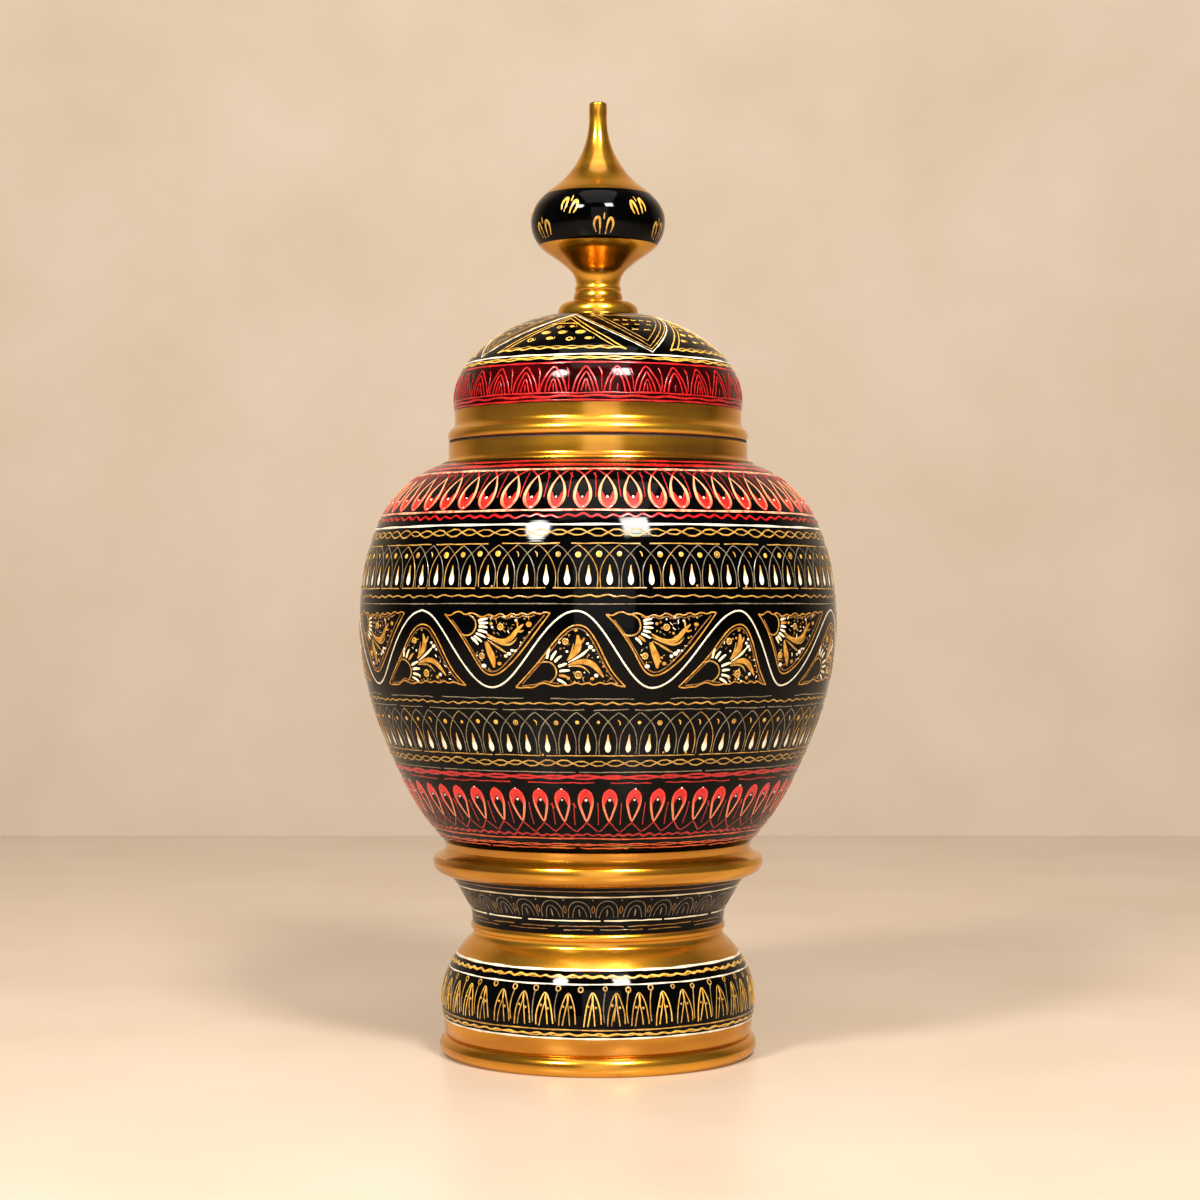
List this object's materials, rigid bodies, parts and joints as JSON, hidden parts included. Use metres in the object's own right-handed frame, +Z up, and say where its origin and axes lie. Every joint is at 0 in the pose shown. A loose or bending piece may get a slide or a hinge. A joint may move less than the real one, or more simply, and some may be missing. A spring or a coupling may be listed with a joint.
{
  "type": "lacquer jar",
  "caption": "Turned wooden jar with a lift-off domed lid and finial, in black, red and gold lacquer with engraved bands of arches, drops and a vine",
  "frame": {"origin": "centre of the flat underside of the base ring, where the jar stands", "axes": "+Z up along the turning axis, +X to the right and +Y away from the viewer when the jar is seen from the front"},
  "size_m": [0.1906, 0.1906, 0.38],
  "materials": {
    "black_lacquer": "gloss",
    "gold_lacquer": "satin",
    "bare_wood": "matte"
  },
  "bodies": {
    "jar": {"base_ring": "gold_lacquer", "foot_block": "black_lacquer", "waist_block": "black_lacquer", "belly_flange": "gold_lacquer", "belly_shell": "black_lacquer", "neck_collar": "gold_lacquer", "pedestal_dowel": "bare_wood"},
    "lid": {"lid_rim_ring": "gold_lacquer", "lid_spigot_ring": "bare_wood", "lid_dome": "black_lacquer", "finial_washer": "gold_lacquer", "finial": "gold_lacquer", "finial_wedge": "bare_wood"}
  },
  "joints": [
    {"name": "lid_lift", "type": "slide", "parent": "jar", "child": "lid", "axis": [0, 0, 1], "range_m": [0, 0.08]}
  ]
}
